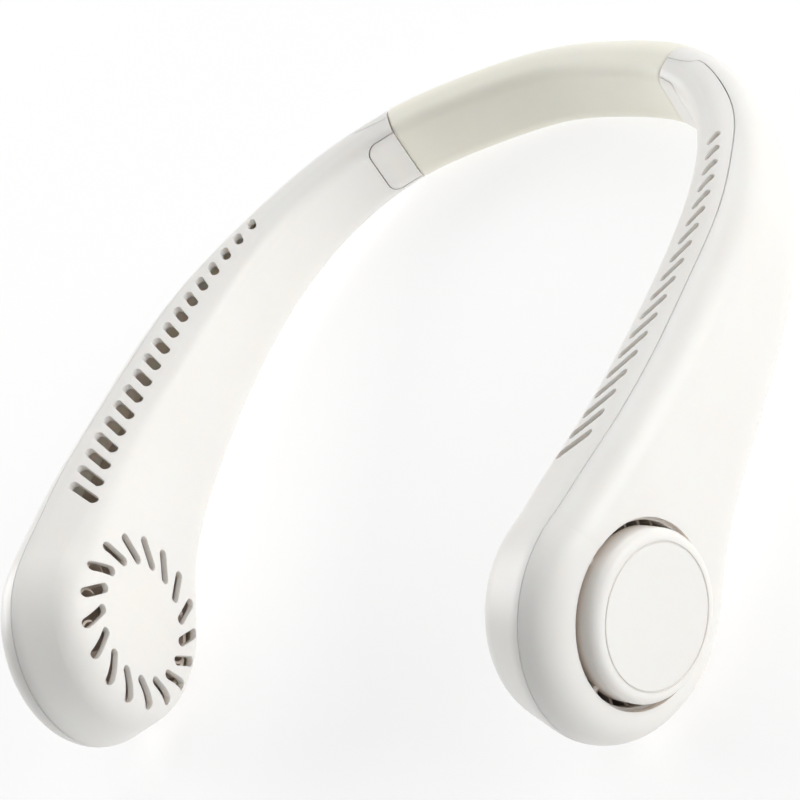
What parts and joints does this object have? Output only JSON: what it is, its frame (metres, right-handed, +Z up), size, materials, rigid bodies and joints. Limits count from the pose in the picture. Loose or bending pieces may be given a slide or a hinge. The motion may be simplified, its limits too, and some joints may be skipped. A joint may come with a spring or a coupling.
{
  "type": "electric neck fan",
  "caption": "Bladeless neck fan: two curved arms hinged to a soft band, each with a round fan housing, slotted air outlets and a round intake cap.",
  "frame": {"origin": "middle of the underside, where the fan lies on the table", "axes": "+X towards the wearer's left-hand picture side (the arm with the button), +Y back towards the band, +Z up"},
  "size_m": [0.1952, 0.21, 0.0585],
  "materials": {
    "white_shell": "satin",
    "silicone": "matte",
    "inner_plastic": "matte",
    "spring_steel": "satin",
    "wire_jacket": "matte",
    "pin_steel": "polished",
    "motor_plate": "satin",
    "bush_brass": "satin",
    "stator_iron": "matte",
    "copper_wire": "satin",
    "cell_wrap": "satin",
    "board": "satin",
    "switch_black": "matte",
    "socket_steel": "satin",
    "light_pipe": "gloss"
  },
  "bodies": {
    "band": {"band_sleeve": "silicone", "band_spring_strip": "spring_steel", "band_wire_lead": "wire_jacket", "right_band_connector": "white_shell", "right_hinge_pin": "pin_steel", "left_band_connector": "white_shell", "left_hinge_pin": "pin_steel"},
    "right_arm": {"right_outer_shell": "white_shell", "right_inner_shell": "white_shell", "right_air_guide": "inner_plastic", "right_base_screws": "pin_steel", "right_intake_cap": "white_shell", "right_motor_base": "motor_plate", "right_motor_bush": "bush_brass", "right_stator_core": "stator_iron", "right_stator_coils": "copper_wire", "right_battery_cell": "cell_wrap", "control_board": "board", "button_switch": "switch_black", "usb_c_socket": "socket_steel", "light_pipe": "light_pipe"},
    "left_arm": {"left_outer_shell": "white_shell", "left_inner_shell": "white_shell", "left_air_guide": "inner_plastic", "left_base_screws": "pin_steel", "left_intake_cap": "white_shell", "left_motor_base": "motor_plate", "left_motor_bush": "bush_brass", "left_stator_core": "stator_iron", "left_stator_coils": "copper_wire", "left_battery_cell": "cell_wrap"},
    "right_rotor": {"right_impeller": "inner_plastic", "right_rotor_cup": "motor_plate", "right_magnet_ring": "stator_iron", "right_rotor_shaft": "pin_steel"},
    "left_rotor": {"left_impeller": "inner_plastic", "left_rotor_cup": "motor_plate", "left_magnet_ring": "stator_iron", "left_rotor_shaft": "pin_steel"},
    "button": {"power_button": "white_shell"}
  },
  "joints": [
    {"name": "right_arm_hinge", "type": "hinge", "parent": "band", "child": "right_arm", "pos_m": [0.0496, 0.08915, 0.01225], "axis": [0, 0.2082, 0.9781], "range_deg": [0, 20], "stiffness_Nm_per_rad": 1},
    {"name": "left_arm_hinge", "type": "hinge", "parent": "band", "child": "left_arm", "pos_m": [-0.0496, 0.08915, 0.01225], "axis": [0, -0.2082, -0.9781], "range_deg": [0, 20], "stiffness_Nm_per_rad": 1},
    {"name": "right_fan_spin", "type": "hinge", "parent": "right_arm", "child": "right_rotor", "pos_m": [0.07246, -0.07439, 0.02901], "axis": [0.9781, -0.2034, 0.0433], "continuous": true},
    {"name": "left_fan_spin", "type": "hinge", "parent": "left_arm", "child": "left_rotor", "pos_m": [-0.07246, -0.07439, 0.02901], "axis": [-0.9781, -0.2034, 0.0433], "continuous": true},
    {"name": "power_button_press", "type": "slide", "parent": "right_arm", "child": "button", "axis": [0.8419, 0.5277, -0.1123], "range_m": [0, 0.0006], "stiffness_N_per_m": 900}
  ]
}
